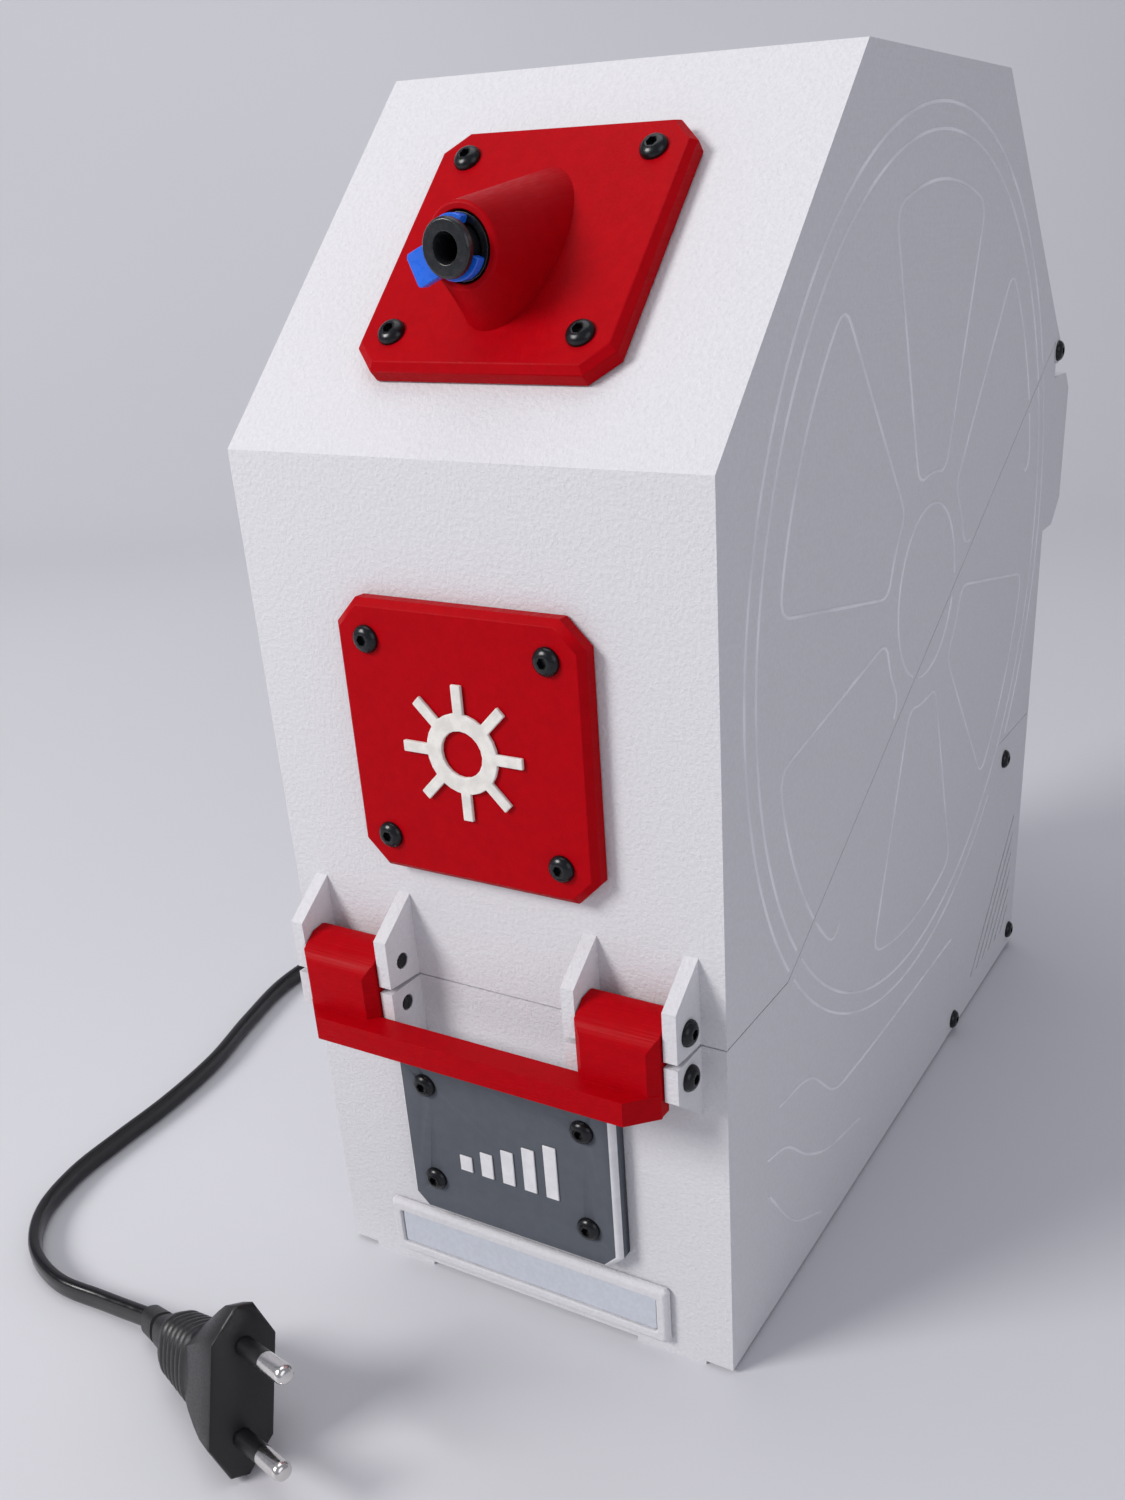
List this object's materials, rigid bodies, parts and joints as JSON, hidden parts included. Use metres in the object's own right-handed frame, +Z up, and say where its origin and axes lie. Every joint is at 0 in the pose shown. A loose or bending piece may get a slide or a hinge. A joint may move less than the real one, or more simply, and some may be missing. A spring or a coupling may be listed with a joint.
{
  "type": "filament dryer box",
  "caption": "Printed filament dryer box with hinged lid, front latch, push-in filament outlet, light bar, vented heater bay and a mains lead.",
  "frame": {"origin": "on the surface the box stands on, under the middle of the box", "axes": "+Z up, +Y to the rear, +X to the right seen from the front"},
  "size_m": [0.2085, 0.3975, 0.2525],
  "materials": {
    "shell_white": "fine grain print",
    "trim_red": "layer lines",
    "plate_grey": "fine grain print",
    "emblem_cream": "fine grain print",
    "screw_black": "black oxide",
    "fitting_black": "satin moulded",
    "clip_blue": "satin moulded",
    "diffuser_frost": "satin translucent",
    "lead_black": "glossy pvc",
    "pin_steel": "nickel plate",
    "shaft_steel": "ground",
    "heater_alloy": "anodised",
    "fan_black": "moulded",
    "board_green": "solder mask",
    "seal_silicone": "soft matt"
  },
  "bodies": {
    "base": {"base_shell": "shell_white", "led_frame": "shell_white", "bay_partition": "shell_white", "side_cover": "shell_white", "outlet_housing": "shell_white", "number_plate": "plate_grey", "led_strip": "emblem_cream", "number_plate_screw_1": "screw_black", "number_plate_screw_2": "screw_black", "number_plate_screw_3": "screw_black", "number_plate_screw_4": "screw_black", "side_cover_screw_1": "screw_black", "side_cover_screw_2": "screw_black", "side_cover_screw_3": "screw_black", "hinge_bolt_left": "screw_black", "hinge_bolt_right": "screw_black", "latch_keeper_bolt_left": "screw_black", "latch_keeper_bolt_right": "screw_black", "flap_servo": "clip_blue", "led_diffuser": "diffuser_frost", "cord_gland": "lead_black", "lead_from_case": "lead_black", "lead_coil": "lead_black", "lead_to_plug": "lead_black", "plug_body": "lead_black", "plug_pin_lower": "pin_steel", "plug_pin_upper": "pin_steel", "roller_axle_front": "shaft_steel", "roller_axle_rear": "shaft_steel", "heater": "heater_alloy", "fan_frame": "fan_black", "controller_board": "board_green", "climate_sensor": "board_green"},
    "lid": {"lid_shell": "shell_white", "lid_seal": "seal_silicone", "badge_plate": "trim_red", "badge_emblem": "emblem_cream", "badge_screw_1": "screw_black", "badge_screw_2": "screw_black", "badge_screw_3": "screw_black", "badge_screw_4": "screw_black", "feed_plate": "trim_red", "feed_plate_screw_1": "screw_black", "feed_plate_screw_2": "screw_black", "feed_plate_screw_3": "screw_black", "feed_plate_screw_4": "screw_black", "fitting_body": "fitting_black", "latch_pivot_bolt_left": "screw_black", "latch_pivot_bolt_right": "screw_black"},
    "latch": {"latch_handle": "trim_red"},
    "collet": {"fitting_collet": "fitting_black"},
    "clip": {"fitting_clip": "clip_blue"},
    "impeller": {"fan_impeller": "fan_black"},
    "front_roller": {"roller_front": "shell_white", "roller_bearing_front_left": "shaft_steel", "roller_bearing_front_right": "shaft_steel"},
    "rear_roller": {"roller_rear": "shell_white", "roller_bearing_rear_left": "shaft_steel", "roller_bearing_rear_right": "shaft_steel"},
    "flap": {"outlet_flap": "shell_white"}
  },
  "joints": [
    {"name": "lid_hinge", "type": "hinge", "parent": "base", "child": "lid", "pos_m": [0, 0.10825, 0.187], "axis": [-1, 0, 0], "range_deg": [0, 105]},
    {"name": "latch_swing", "type": "hinge", "parent": "lid", "child": "latch", "pos_m": [0, -0.11365, 0.0876], "axis": [-1, 0, 0], "range_deg": [0, 100]},
    {"name": "collet_press", "type": "slide", "parent": "lid", "child": "collet", "axis": [0, 1, 0], "range_m": [0, 0.0005], "stiffness_N_per_m": 600},
    {"name": "clip_pull", "type": "slide", "parent": "lid", "child": "clip", "axis": [-0.9231, 0, -0.3846], "range_m": [0, 0.015]},
    {"name": "fan_spin", "type": "hinge", "parent": "base", "child": "impeller", "pos_m": [0, 0.08057, 0.02906], "axis": [0, -0.7737, 0.6335], "continuous": true},
    {"name": "roller_front_spin", "type": "hinge", "parent": "base", "child": "front_roller", "pos_m": [0, -0.04639, 0.04348], "axis": [1, 0, 0], "continuous": true},
    {"name": "roller_rear_spin", "type": "hinge", "parent": "base", "child": "rear_roller", "pos_m": [0, 0.04769, 0.04348], "axis": [1, 0, 0], "continuous": true},
    {"name": "flap_swing", "type": "hinge", "parent": "base", "child": "flap", "pos_m": [0, 0.10925, 0.1726], "axis": [1, 0, 0], "range_deg": [0, 25]}
  ]
}
